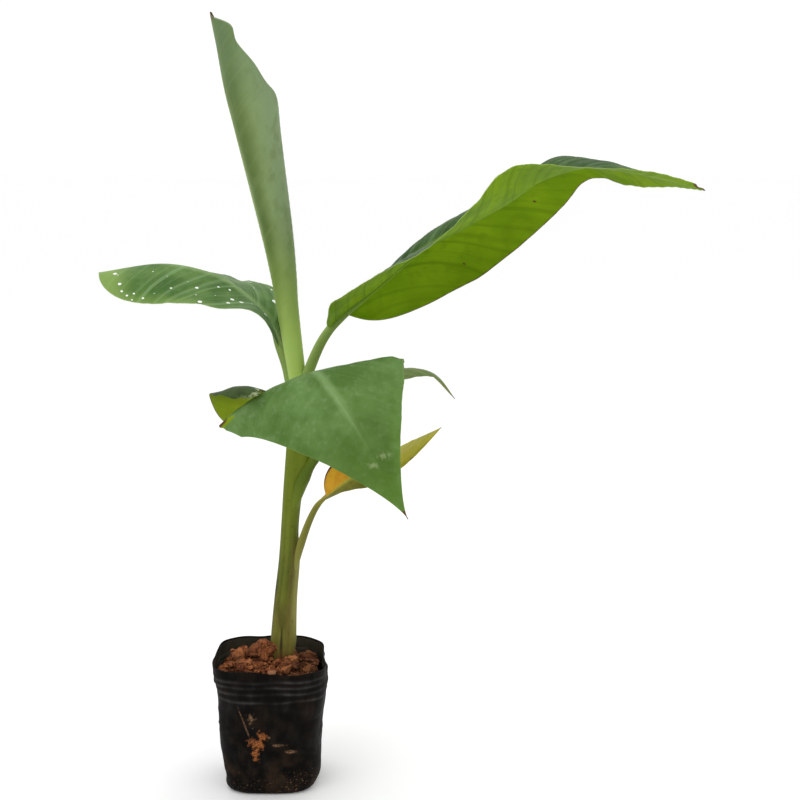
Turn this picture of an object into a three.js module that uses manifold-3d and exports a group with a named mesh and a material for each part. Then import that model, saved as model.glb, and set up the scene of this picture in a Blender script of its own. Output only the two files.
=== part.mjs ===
// Banana sapling in a soft round-cornered grow bag, in millimetres, +Z up.
// The origin is the middle of the bag's flat underside; the front of the plant faces -Y.
import * as THREE from 'three';
import Module from 'manifold-3d';

const wasm = await Module();
wasm.setup();

// Bag and soil
const GAP = 0.3;                 // clear space between neighbouring pieces
const BAG_WALL = 1.4;
const BAG_FLOOR = 2.0;
const BAG_CORNER = 3.4;          // power of the rounded-square plan
const BAG_SIDES = 40;
const BAG_PROFILE = [            // [height, half width]
  [0, 42], [3, 45.5], [10, 48], [30, 50.3], [60, 53], [90, 55], [110, 57],
];
const RIM_HEIGHT = 129.7;
const RIM_HALF = 58;
const RIM_TILT = 1.4;            // rise of the rim towards the left and back
const TILT_TURN = 1.2;           // how far round that rise is from the back
const RIM_SAG = 1;               // sag of the rim between its corners
const SAG_TURN = 0.8;            // how far round that sag is turned
const SOIL_EDGE = 115;           // soil level along the bag wall
const SOIL_SHOULDER = 2;         // how far the soil's side stops below that level
const SOIL_SEAT = 128;           // soil level under the stem
const SOIL_RINGS = [0.86, 0.7, 0.54, 0.38, 0.2, 0];   // shares of the way from the seat to the wall
const MOUND_REACH = 40;          // how far out the mound falls
const SEAT_SLOPE = 5;            // how far past the seat the clods reach their full rise
const STEM_SEAT_R = 15;
const CLODS = [                  // [x, y, radius, rise]
  [-9, -2, 16, 20], [-33, 6, 13, 13], [-40, -14, 12, 10], [-22, -20, 14, 10], [-2, -28, 13, 7],
  [20, -24, 12, 6], [38, -10, 14, 7], [40, 16, 12, 8], [16, 30, 14, 6], [-16, 32, 13, 8], [-42, 26, 9, 6],
];

// Stem and rolled leaf
const STEM_TOP = 412;
const STEM_SIDES = 24;
const STEM_LINE = [              // [height, x, y, radius]
  [SOIL_SEAT + GAP, 11.5, 0, 12.8], [152, 12.5, 0, 12.2], [190, 15, 0, 10.9], [229, 19, 0, 10],
  [264, 21, 0, 9.2], [300, 24, 0, 9.8], [351, 28, 0, 10], [391, 30, 0, 8.8], [STEM_TOP, 30, 0, 7.4],
];
const ROLL_LINE = [              // [height, x of the left edge, radius]
  [STEM_TOP + GAP, 23, 7.2], [480, 12, 9.4], [515, 6, 11.6], [561, -4, 15.2], [652, -27, 22.4],
  [696, -37, 25.4], [761, -46, 26.5],
];
const ROLL_SIDES = 24;
const ROLL_ROWS = 10;
const ROLL_WALL = 3.6;
const ROLL_CUP = 520;            // height where the hollow of the roll ends
const CUP_ROWS = 7;
const ROLL_MOUTH = [             // [degrees round from the left edge, height of the lip]
  [0, 761], [20, 757], [72, 748], [81, 732], [112, 709], [137, 693], [180, 680],
];

// Leaves. path: stalk then midrib; stalk: how many points belong to the stalk before the blade.
// Each half of a blade: width, start, widest share, roundness of base and tip, then its slope in degrees
// at the rib (root) and at the margin (edge) at shares of the midrib (at); bend is how late across the
// half the slope turns from one to the other. Square: 1 where the sections stand square to the midrib,
// 0 where they stay parallel.
const CURVE_STEPS = 80;
const TANGENT_STEP = 0.5;
const ARC_STEPS = 40;
const STALK_ROWS = 9;
const STALK_SIDES = 12;
const STALK_FLAT = 0.92;         // height of a stalk's section against its width
const RIDGE_TIP = 0.35;          // the midrib's share of its first size left at the tip
const RIDGE_SPREAD = 0.8;
const TIP_WIDTH = 0.6;           // half width left at the tip, in blade thicknesses
const ACROSS_SHARES = [0, 0.05, 0.13, 0.26, 0.4, 0.55, 0.7, 0.85, 1];
const LEFT_LEAF = {
  path: [
    [27, 5, 384], [22, 8, 416], [14, 10, 440], [2, 13, 470], [-29, 18, 500], [-59, 24, 515],
    [-105, 30, 522], [-167, 34, 513],
  ],
  stalk: 2, across: [0.1, 1, 0], square: 1, stalkRadii: [5.6, 6.2, 5], thick: 2.4, rows: 22,
  left: { width: 60, start: 0, widest: 0.6, base: [1.7, 0.8], tip: [3, 0.6], bend: 1,
    at: [0, 0.1, 0.2, 0.32, 0.44, 0.56, 0.7, 0.85, 1], root: [4, 10, 8, -20, -28, -30, -26, -14, 0],
    edge: [-17, -6, -6, -26, -28, -32, -45, -62, -75] },
  right: { width: 60, start: 0, widest: 0.5, base: [1.7, 0.8], tip: [3, 0.6], bend: 1,
    at: [0, 0.12, 0.24, 0.36, 0.48, 1], root: [70, 66, 27, 0, -9, -13], edge: [-15, 0, 15, 5, -4, -14] },
};
const RIGHT_LEAF = {
  path: [
    [34, -1, 384], [44, -5, 422], [65, -16, 465], [112, -42, 507], [152, -65, 542], [190, -86, 564],
    [228, -108, 587], [256, -123, 607], [290, -142, 618], [314, -156, 617], [348, -175, 610],
    [385, -196, 601],
  ],
  stalk: 2, across: [-0.56, -0.83, 0], square: 1, stalkRadii: [4.8, 4.8, 4.5], thick: 4.4, rows: 30,
  left: { width: 118, start: 0.05, widest: 0.38, base: [2.6, 0.5], tip: [2, 0.8], bend: 0.8,
    at: [0, 0.1, 0.2, 0.32, 0.45, 0.58, 0.68, 0.76, 0.84, 0.92, 1],
    root: [17, 50, 62, 65, 62, 58, 40, 22, 10, 2, 0],
    edge: [-80, -78, -83, -90, -70, -54, -43, -40, -28, -18, -10] },
  right: { width: 84, start: 0, widest: 0.4, base: [2.6, 0.5], tip: [2, 0.8], bend: 1,
    at: [0, 0.12, 0.22, 0.3, 0.38, 0.46, 0.56, 0.66, 0.76, 0.86, 1],
    root: [-9, -2, -6, -8, -8, -6, -2, 4, 1, 5, 10],
    edge: [-20, -4, -14, -18, -18, -13, -5, 9, 2, 12, 24] },
};
const FRONT_SPLIT = 0.455;       // share of the midrib where the front leaf bends over and is torn
const FRONT_LEAF = {
  path: [
    [24, -3, 272], [39, -8, 316], [51, -20, 345], [55, -70, 396], [54, -138, 440], [73, -168, 427],
    [97, -186, 393], [118, -190, 356], [138, -190, 319],
  ],
  stalk: 2, across: [-0.957, 0, -0.29], square: 0, stalkRadii: [6.5, 8.6, 5.4], thick: 3.4, rows: 16,
  left: { width: 82, start: 0, widest: 0.46, base: [1.3, 1], tip: [1.35, 1.45], bend: 1,
    at: [0, 0.3, 0.46, 0.54, 0.62, 0.7, 0.85, 1], root: [-14, -12, -5, -6, -12, -14, -10, 0],
    edge: [-30, -24, -7, -14, -28, -30, -26, -10] },
};
const FRONT_BACK_PART = {
  ...FRONT_LEAF,
  right: { width: 95, start: 0, widest: 0.46, base: [1.5, 0.8], tip: [1.5, 0.8], bend: 1,
    at: [0, 0.2, 0.3, 0.38, 0.46], root: [0, 0, 0, 0, -2], edge: [-14, -8, -10, -14, 11] },
};
const FRONT_FALL_PART = {
  ...FRONT_LEAF,
  right: { width: 106, start: 0, widest: 0.56, base: [1.3, 1], tip: [1, 1.2], bend: 1.4,
    at: [0.45, 0.5, 0.56, 0.63, 0.7, 0.85, 1], root: [-2, -2, -3, -4, -6, -6, -4],
    edge: [-28, -30, -38, -38, -28, -10, -4] },
};
const BACK_LEAF = {
  path: [
    [30, 2, 340], [48, 8, 368], [72, 16, 384], [100, 30, 404], [134, 44, 415], [163, 54, 408],
    [185, 60, 382],
  ],
  stalk: 2, across: [0.3, -1, 0], square: 1, stalkRadii: [4.4, 4, 3.6], thick: 2, rows: 16,
  left: { width: 30, start: 0, widest: 0.45, base: [2.2, 0.5], tip: [1.4, 1], bend: 1,
    at: [0, 1], root: [-5, -5], edge: [-10, -10] },
  right: { width: 30, start: 0, widest: 0.45, base: [2.2, 0.5], tip: [1.4, 1], bend: 1,
    at: [0, 0.6, 1], root: [-10, -14, -10], edge: [-16, -22, -16] },
};
const OLD_LEAF = {
  path: [
    [24, -2, 214], [33, -7, 251], [47, -12, 286], [64, -20, 304], [87, -36, 324], [129, -66, 349],
    [169, -92, 381],
  ],
  stalk: 2, across: [-0.5, -0.86, 0], square: 1, stalkRadii: [4.4, 4.2, 3.4], thick: 2, rows: 18,
  left: { width: 28, start: 0.12, widest: 0.3, base: [2.4, 0.4], tip: [1.6, 1], bend: 1,
    at: [0, 0.2, 0.5, 1], root: [60, 60, 16, 0], edge: [76, 72, 20, -5] },
  right: { width: 27, start: 0, widest: 0.5, base: [1.3, 1], tip: [1.6, 1], bend: 1,
    at: [0, 0.3, 1], root: [-20, -30, -40], edge: [-30, -40, -50] },
};

// Small helpers
const lerp = (a, b, t) => a + (b - a) * t;
const clamp01 = (t) => Math.min(1, Math.max(0, t));
const rad = (degrees) => (degrees * Math.PI) / 180;
const turnOf = (k, count) => (k / count) * 2 * Math.PI;

// Straight steps through rows of [key, value, value ...].
function along(table, key) {
  let k = 0;
  while (k < table.length - 2 && key > table[k + 1][0]) k += 1;
  const t = clamp01((key - table[k][0]) / (table[k + 1][0] - table[k][0]));
  return table[k].slice(1).map((value, column) => lerp(value, table[k + 1][column + 1], t));
}

// Smooth steps from one station to the next.
function ease(stations, values, u) {
  let k = 0;
  while (k < stations.length - 2 && u >= stations[k + 1]) k += 1;
  const t = clamp01((u - stations[k]) / (stations[k + 1] - stations[k]));
  return lerp(values[k], values[k + 1], t * t * (3 - 2 * t));
}

function meshGeometry(points, faces) {
  const geometry = new THREE.BufferGeometry();
  geometry.setAttribute('position', new THREE.Float32BufferAttribute(points.flat(), 3));
  geometry.setIndex(faces.flat());
  return geometry;
}

function toManifold(geometry) {
  return new wasm.Manifold(new wasm.Mesh({
    numProp: 3,
    vertProperties: new Float32Array(geometry.attributes.position.array),
    triVerts: new Uint32Array(geometry.index.array),
  }));
}

function fromManifold(solid) {
  const mesh = solid.getMesh();
  const geometry = new THREE.BufferGeometry();
  const positions = Array.from(mesh.vertProperties);
  geometry.setAttribute('position', new THREE.Float32BufferAttribute(positions, 3));
  geometry.setIndex(Array.from(mesh.triVerts));
  return geometry;
}

// Skins a stack of closed rings (each the same length, turning anticlockwise seen from the far end)
// and closes both ends with fans.
function stack(rings) {
  const count = rings[0].length;
  const points = rings.flat();
  const faces = [];
  for (let r = 0; r < rings.length - 1; r += 1) {
    for (let k = 0; k < count; k += 1) {
      const a = r * count + k;
      const b = r * count + ((k + 1) % count);
      faces.push([a, b, b + count], [a, b + count, a + count]);
    }
  }
  const middle = (ring) => ring.reduce((sum, p) => sum.map((v, i) => v + p[i] / count), [0, 0, 0]);
  const low = points.push(middle(rings[0])) - 1;
  const high = points.push(middle(rings[rings.length - 1])) - 1;
  const top = (rings.length - 1) * count;
  for (let k = 0; k < count; k += 1) {
    faces.push([low, (k + 1) % count, k], [high, top + k, top + ((k + 1) % count)]);
  }
  return meshGeometry(points, faces);
}

// Evenly spaced spots on the smooth line through a path, between two of its points.
// Span: the first and last share of that length, then a gap in millimetres at each end.
function run(path, first, last, count, [from, to, headGap, tailGap]) {
  const controls = path.map((p) => new THREE.Vector3(...p));
  const curve = new THREE.CatmullRomCurve3(controls, false, 'catmullrom', 0.5);
  const dense = [];
  for (let k = first * CURVE_STEPS; k <= last * CURVE_STEPS; k += 1) {
    dense.push(curve.getPoint(k / (CURVE_STEPS * (path.length - 1))));
  }
  const arc = [0];
  for (let k = 1; k < dense.length; k += 1) arc.push(arc[k - 1] + dense[k].distanceTo(dense[k - 1]));
  const total = arc[arc.length - 1];
  const at = (distance) => {
    let k = 0;
    while (k < arc.length - 2 && distance > arc[k + 1]) k += 1;
    return dense[k].clone().lerp(dense[k + 1], (distance - arc[k]) / (arc[k + 1] - arc[k]));
  };
  const spots = [];
  for (let k = 0; k <= count; k += 1) {
    const distance = lerp(from * total + headGap, to * total - tailGap, k / count);
    const ahead = at(Math.min(total, distance + TANGENT_STEP));
    const behind = at(Math.max(0, distance - TANGENT_STEP));
    spots.push({ point: at(distance), tangent: ahead.sub(behind).normalize(), share: distance / total });
  }
  return spots;
}

// Directions across and above the rib at one spot; across is squared to the rib, or kept parallel.
function frame(tangent, leaf) {
  const hint = new THREE.Vector3(...leaf.across);
  const b = hint.clone().addScaledVector(tangent, -leaf.square * hint.dot(tangent)).normalize();
  return { b, n: new THREE.Vector3().crossVectors(b, tangent).normalize() };
}

// Half width of a blade at a share of its length: rounded base, drawn-in tip.
function halfWidth(half, share) {
  const u = clamp01((share - half.start) / (1 - half.start));
  if (u < half.widest) return half.width * (1 - (1 - u / half.widest) ** half.base[0]) ** half.base[1];
  const high = (u - half.widest) / (1 - half.widest);
  return half.width * (1 - high ** half.tip[0]) ** half.tip[1];
}

// Points [out, up] of one half of a blade's section: an arc whose slope runs from root to edge.
function arcPoints(width, root, edge, bend) {
  const walk = [[0, 0]];
  for (let k = 1; k <= ARC_STEPS; k += 1) {
    const slope = lerp(root, edge, ((k - 0.5) / ARC_STEPS) ** bend);
    const [out, up] = walk[k - 1];
    walk.push([out + (Math.cos(slope) * width) / ARC_STEPS, up + (Math.sin(slope) * width) / ARC_STEPS]);
  }
  return walk;
}

// A thin blade with a ridge under its rib, from one share of the midrib to another.
function blade(leaf, from, to, headGap, tailGap) {
  const span = [from, to, headGap, tailGap];
  const spots = run(leaf.path, leaf.stalk, leaf.path.length - 1, leaf.rows, span);
  const ridge = leaf.stalkRadii[leaf.stalkRadii.length - 1];
  const rings = spots.map(({ point, tangent, share }) => {
    const { b, n } = frame(tangent, leaf);
    const ridgeHere = lerp(ridge, RIDGE_TIP * ridge, share);
    const upper = [];
    const lower = [];
    for (const [half, sign] of [[leaf.left, -1], [leaf.right, 1]]) {
      const width = Math.max(halfWidth(half, share), lerp(ridge, TIP_WIDTH * leaf.thick, share));
      const root = rad(ease(half.at, half.root, share));
      const edge = rad(ease(half.at, half.edge, share));
      const walk = arcPoints(width, root, edge, half.bend);
      const rowUp = [];
      const rowDown = [];
      for (const s of ACROSS_SHARES) {
        const spot = s * ARC_STEPS;
        const k = Math.min(ARC_STEPS - 1, Math.floor(spot));
        const x = lerp(walk[k][0], walk[k + 1][0], spot - k);
        const y = lerp(walk[k][1], walk[k + 1][1], spot - k);
        const slope = s === 0 ? 0 : lerp(root, edge, s ** half.bend);
        const lean = -sign * Math.sin(slope);
        const normal = n.clone().multiplyScalar(Math.cos(slope)).addScaledVector(b, lean);
        const middle = point.clone().addScaledVector(b, sign * x).addScaledVector(n, y);
        const bump = ridgeHere * Math.exp(-(((s * width) / (RIDGE_SPREAD * ridgeHere)) ** 2));
        rowUp.push(middle.clone().addScaledVector(normal, leaf.thick / 2));
        rowDown.push(middle.clone().addScaledVector(normal, -leaf.thick / 2 - bump));
      }
      upper.push(rowUp);
      lower.push(rowDown);
    }
    const ring = [
      ...lower[1].slice(1).reverse(), ...lower[0], ...upper[0].slice(1).reverse(), ...upper[1],
    ];
    return ring.map((p) => p.toArray());
  });
  return stack(rings);
}

// A stalk from inside the stem to just short of its blade, oval in section.
function stalk(leaf) {
  const spots = run(leaf.path, 0, leaf.stalk, STALK_ROWS, [0, 1, 0, GAP / 2]);
  const steps = leaf.stalkRadii.map((r, k) => [k / (leaf.stalkRadii.length - 1), r]);
  const rings = spots.map(({ point, tangent, share }) => {
    const { b, n } = frame(tangent, leaf);
    const r = along(steps, share)[0];
    const ring = [];
    for (let k = 0; k < STALK_SIDES; k += 1) {
      const turn = -turnOf(k, STALK_SIDES);
      const spot = point.clone().addScaledVector(b, r * Math.cos(turn));
      ring.push(spot.addScaledVector(n, STALK_FLAT * r * Math.sin(turn)).toArray());
    }
    return ring;
  });
  return stack(rings);
}

// The pseudostem as level circles, grown by `extra` all round.
function stemSolid(extra) {
  const rings = STEM_LINE.map(([z, x, y, r], row) => {
    const level = z + (row === 0 ? -extra : 0) + (row === STEM_LINE.length - 1 ? extra : 0);
    const ring = [];
    for (let k = 0; k < STEM_SIDES; k += 1) {
      const turn = turnOf(k, STEM_SIDES);
      ring.push([x + (r + extra) * Math.cos(turn), y + (r + extra) * Math.sin(turn), level]);
    }
    return ring;
  });
  return stack(rings);
}

// One ring of the rolled leaf: circles that all touch its straight left edge.
function rollRing(heightAt, inset) {
  const ring = [];
  for (let k = 0; k < ROLL_SIDES; k += 1) {
    const turn = turnOf(k, ROLL_SIDES);
    const z = heightAt(turn);
    const [edge, radius] = along(ROLL_LINE, z);
    ring.push([edge + radius - (radius - inset) * Math.cos(turn), -(radius - inset) * Math.sin(turn), z]);
  }
  return ring;
}

function lipHeight(turn) {
  const degrees = (turn * 180) / Math.PI;
  return along(ROLL_MOUTH, Math.min(degrees, 360 - degrees))[0];
}

// The rolled leaf with its slanting hollow mouth; grown by `extra` it is filled.
function rollSolid(extra) {
  const base = ROLL_LINE[0][0] - extra;
  const rings = [];
  for (let row = 0; row <= ROLL_ROWS; row += 1) {
    rings.push(rollRing((turn) => lerp(base, lipHeight(turn) + extra, row / ROLL_ROWS), -extra));
  }
  if (extra === 0) {
    for (let row = 0; row <= CUP_ROWS; row += 1) {
      rings.push(rollRing((turn) => lerp(lipHeight(turn), ROLL_CUP, row / CUP_ROWS), ROLL_WALL));
    }
  }
  return stack(rings);
}

// Rounded-square plan of the bag at a direction, for a half width of one.
function plan(turn) {
  const c = Math.abs(Math.cos(turn)) ** BAG_CORNER;
  const s = Math.abs(Math.sin(turn)) ** BAG_CORNER;
  return (c + s) ** (-1 / BAG_CORNER);
}

function rimHeight(turn) {
  return RIM_HEIGHT + RIM_TILT * Math.sin(turn - TILT_TURN) + RIM_SAG * Math.sin(2 * turn - SAG_TURN);
}

// One ring of the bag's plan; its height is a number or a function of the direction.
function bagRing(half, height) {
  const ring = [];
  for (let k = 0; k < BAG_SIDES; k += 1) {
    const turn = turnOf(k, BAG_SIDES);
    const reach = plan(turn) * half;
    const z = typeof height === 'function' ? height(turn) : height;
    ring.push([reach * Math.cos(turn), reach * Math.sin(turn), z]);
  }
  return ring;
}

function bagSolid() {
  const rings = BAG_PROFILE.map(([z, half]) => bagRing(half, z));
  rings.push(bagRing(RIM_HALF, rimHeight));
  rings.push(bagRing(RIM_HALF - BAG_WALL, rimHeight));
  for (const [z, half] of BAG_PROFILE.slice(1).reverse()) rings.push(bagRing(half - BAG_WALL, z));
  rings.push(bagRing(along(BAG_PROFILE, BAG_FLOOR)[0] - BAG_WALL, BAG_FLOOR));
  return stack(rings);
}

// Height of the soil: a low mound, its clods, and a level seat under the stem.
function soilHeight(x, y) {
  const [, seatX, seatY] = STEM_LINE[0];
  const past = Math.hypot(x - seatX, y - seatY) - STEM_SEAT_R;
  let rise = 0;
  for (const [cx, cy, r, h] of CLODS) {
    const reach = Math.hypot(x - cx, y - cy) / r;
    if (reach < 1) rise = Math.max(rise, h * (1 - reach * reach));
  }
  return lerp(SOIL_SEAT, SOIL_EDGE, clamp01(past / MOUND_REACH)) + rise * clamp01(past / SEAT_SLOPE);
}

function soilSolid() {
  const inset = BAG_WALL + GAP;
  const floorZ = BAG_FLOOR + GAP;
  const rings = [bagRing(along(BAG_PROFILE, floorZ)[0] - inset, floorZ)];
  for (const [z, half] of BAG_PROFILE.slice(1, -1)) rings.push(bagRing(half - inset, z));
  const shoulder = bagRing(along(BAG_PROFILE, SOIL_EDGE)[0] - inset, SOIL_EDGE - SOIL_SHOULDER);
  rings.push(shoulder);
  const [, seatX, seatY] = STEM_LINE[0];
  for (const share of SOIL_RINGS) {
    const ring = shoulder.map(([x, y], k) => {
      const turn = turnOf(k, BAG_SIDES);
      const spotX = lerp(seatX + STEM_SEAT_R * Math.cos(turn), x, share);
      const spotY = lerp(seatY + STEM_SEAT_R * Math.sin(turn), y, share);
      return [spotX, spotY, soilHeight(spotX, spotY)];
    });
    rings.push(ring);
  }
  return stack(rings);
}

// Trims a stalk clear of the stem and of the rolled leaf.
const stemCutter = toManifold(stemSolid(GAP));
const rollCutter = toManifold(rollSolid(GAP));
function trimmed(geometry) {
  return fromManifold(toManifold(geometry).subtract(stemCutter).subtract(rollCutter));
}

const group = new THREE.Group();
group.name = 'banana_sapling';

function node(name, geometry, color, roughness) {
  const flat = geometry.toNonIndexed();
  flat.computeVertexNormals();
  const material = new THREE.MeshStandardMaterial({ color, roughness, metalness: 0 });
  const mesh = new THREE.Mesh(flat, material);
  mesh.name = name;
  group.add(mesh);
}

const FILM_BLACK = 0x191817;
const SOIL_RED = 0x8f5636;
const STEM_GREEN = 0x69803a;
const LEAF_GREEN = 0x5f8a45;
const ROLL_GREEN = 0x7d9a6c;
const OLD_YELLOW = 0xb0a54a;
node('grow_bag', bagSolid(), FILM_BLACK, 0.45);
node('soil', soilSolid(), SOIL_RED, 0.95);
node('pseudostem', stemSolid(0), STEM_GREEN, 0.6);
node('rolled_leaf', rollSolid(0), ROLL_GREEN, 0.6);
node('stalk_left', trimmed(stalk(LEFT_LEAF)), STEM_GREEN, 0.6);
node('blade_left', blade(LEFT_LEAF, 0, 1, GAP / 2, 0), LEAF_GREEN, 0.5);
node('stalk_right', trimmed(stalk(RIGHT_LEAF)), STEM_GREEN, 0.6);
node('blade_right', blade(RIGHT_LEAF, 0, 1, GAP / 2, 0), LEAF_GREEN, 0.5);
node('stalk_front', trimmed(stalk(FRONT_LEAF)), STEM_GREEN, 0.6);
node('blade_front_back', blade(FRONT_BACK_PART, 0, FRONT_SPLIT, GAP / 2, GAP / 2), LEAF_GREEN, 0.5);
node('blade_front_fall', blade(FRONT_FALL_PART, FRONT_SPLIT, 1, GAP / 2, 0), LEAF_GREEN, 0.5);
node('stalk_back', trimmed(stalk(BACK_LEAF)), STEM_GREEN, 0.6);
node('blade_back', blade(BACK_LEAF, 0, 1, GAP / 2, 0), LEAF_GREEN, 0.5);
node('stalk_old', trimmed(stalk(OLD_LEAF)), OLD_YELLOW, 0.7);
node('blade_old', blade(OLD_LEAF, 0, 1, GAP / 2, 0), OLD_YELLOW, 0.7);

export default group;
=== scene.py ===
"""Banana sapling in a soft black grow bag: thin veined leaves, sheathed stem, film bag and clods.

Sizes are millimetres, under the same names as in the solids and within a few millimetres of their values.
They become metres when a mesh is filled.
"""

import math
from collections import namedtuple

import bpy
import numpy as np
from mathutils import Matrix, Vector


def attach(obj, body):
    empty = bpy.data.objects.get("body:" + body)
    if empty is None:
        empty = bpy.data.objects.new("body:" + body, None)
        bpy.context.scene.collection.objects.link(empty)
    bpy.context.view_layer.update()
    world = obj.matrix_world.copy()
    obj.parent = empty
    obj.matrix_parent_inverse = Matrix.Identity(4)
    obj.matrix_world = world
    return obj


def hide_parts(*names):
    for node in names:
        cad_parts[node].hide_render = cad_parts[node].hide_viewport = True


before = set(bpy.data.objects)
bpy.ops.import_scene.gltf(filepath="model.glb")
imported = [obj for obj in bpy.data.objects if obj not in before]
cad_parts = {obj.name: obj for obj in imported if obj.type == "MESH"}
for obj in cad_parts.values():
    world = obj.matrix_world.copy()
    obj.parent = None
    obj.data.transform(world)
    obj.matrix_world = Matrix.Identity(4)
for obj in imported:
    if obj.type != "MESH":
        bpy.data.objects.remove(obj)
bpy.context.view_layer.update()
MM = 0.001
TAU = 2 * math.pi
CURVE_STEPS = 80  # points on a curve between two control points

# Bag and soil
BAG_CORNER = 3.4
# [height, half width]
BAG_PROFILE = [[0, 42], [3, 45.5], [10, 48], [30, 50.3], [60, 53], [90, 55], [110, 57], [129.7, 58]]
RIM_HEIGHT = 129.7
RIM_TILT = 1.4  # rise of the rim towards its high side
TILT_TURN = 1.2  # how far round that side is turned
SAG_TURN = 0.8  # how far round the two low sides of the rim are turned
RIM_PEAK = 4.5  # direction of a small peak of the rim
CREASES = 54
FILM_R = 52  # middle radius of the bag, for lengths round it
FLOOR_RINGS = 6  # rings across the bag's floor, outside and inside
FILM = 0.8  # thickness
FILM_RIBS = [[120, 1.3], [114.3, 1.4], [107.6, 1.2], [99.5, 1.0]]  # [height, rise] of the rim's creases
SOIL_EDGE = 115
SOIL_SEAT = 128
SOIL_FOOT = 6
SOIL_GAP = 3.6  # the fill's distance from the even wall
MOUND_RUN = 40  # how far the mound falls away from the seat
DENT_MOST = 9  # deepest dent that the soil follows
LOOSE_REACH = 53  # half width over which loose clods lie
STEM_SEAT_R = 15
STEM_CLEAR = 13  # loose clods keep this far from the stem's middle
SEAT_SLOPE = 5  # how far past the seat clods rise fully
CLODS = [
    [-7, -5, 17, 20], [-33, 6, 13, 13], [-40, -14, 12, 10], [-22, -20, 14, 10], [-2, -28, 13, 7],
    [20, -24, 12, 6], [38, -10, 14, 7], [40, 16, 12, 8], [16, 30, 14, 6], [-16, 32, 13, 8], [-42, 26, 9, 6],
]  # [x, y, radius, rise]
# Layouts of lumps: rows, points in each, planes cut, roughness
BIG_CLOD = (26, 36, 16, 0.6)
PALE_LUMP = (9, 14, 6, 0.15)
LOOSE_CLODS = [[120, 3.2, 7.4, (12, 16, 11, 0.8)], [520, 0.9, 2.7, (5, 7, 8, 0.8)]]  # [count, sizes, layout]
PALE_BITS = [[4, -37, 5, 0.5], [42, -33, 2.6, 0.9]]  # [x, y, radius, paleness]
# Smears on the film: [x, height, half width, half height, lean, raggedness]
RUST_SMEARS = [[-10.5, 56, 8, 6, 0.3, 1], [-4, 64, 4.5, 6, 0.5, 1], [-11.5, 46, 3.6, 9, 0.1, 1]]
TAN_SMEARS = [
    [11, 55, 8, 1.3, 0.1, 0.8], [23.5, 47.5, 6.2, 2.5, 0.2, 0.5], [-21.8, 76.5, 1.2, 20, 0.32, 0.45],
    [-15, 82, 3, 5, 0.2, 2], [2, 63, 2, 1.5, 0, 0.8],
]

# Stem and rolled leaf
STEM_LINE = [
    [118, 11.2, 0, 12.9], [128, 11.5, 0, 12.8], [152, 12.5, 0, 12.2], [190, 15, 0, 10.9], [229, 19, 0, 10],
    [264, 21, 0, 9.2], [300, 24, 0, 9.8], [351, 28, 0, 10], [391, 30, 0, 8.6], [400, 30, 0, 7.2],
    [408, 30, 0, 5.5],
]  # [height, x, y, radius]
SHEATHS = [[-0.7, 0.003, 0.25], [2.3, 0.006, 0.4], [4.2, 0.0065, 0.2]]  # [turn, turn per mm, step]
ROLL_LINE = [
    [394, 25, 6.2], [404, 25, 6.9], [412, 23.6, 7.6], [480, 12.8, 9.8], [515, 7, 11.8], [561, -3.1, 15.1],
    [652, -26.3, 21.9], [696, -36.6, 25], [761, -46, 26.5], [770, -47, 26.6],
]  # [height, x of the left edge, radius]
ROLL_FOOT = 394
ROLL_SHEET = 0.7
ROLL_OUTER = [
    [0, 761], [20, 757], [72, 748], [81, 732], [112, 713], [137, 696], [180, 680], [230, 640], [280, 560],
    [320, 470], [333, 425],
]  # [degrees from the midrib, height of the lip]
ROLL_INNER = [
    [0, 761], [20, 752], [60, 736], [81, 716], [112, 698], [137, 684], [180, 672], [360, 650], [580, 640],
]

# Leaves: stalk and midrib in one path, then how each half of the blade spreads and slopes.
ACROSS = np.concatenate([np.linspace(0, 0.985, 40), [0.995, 1]])  # shares of a half blade's width
STALK_END = 2  # control point of a path at which its blade starts
BLADE_THICK = 0.6
BLADE_ROWS = 700  # rows of a blade before it is cut to length
STALK_SIDES = 36
HALF_APART = 300  # keeps the streaks of the two halves unlike
VEIN_SWEEP = 0.62  # how far side veins run forward as they run out
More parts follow.
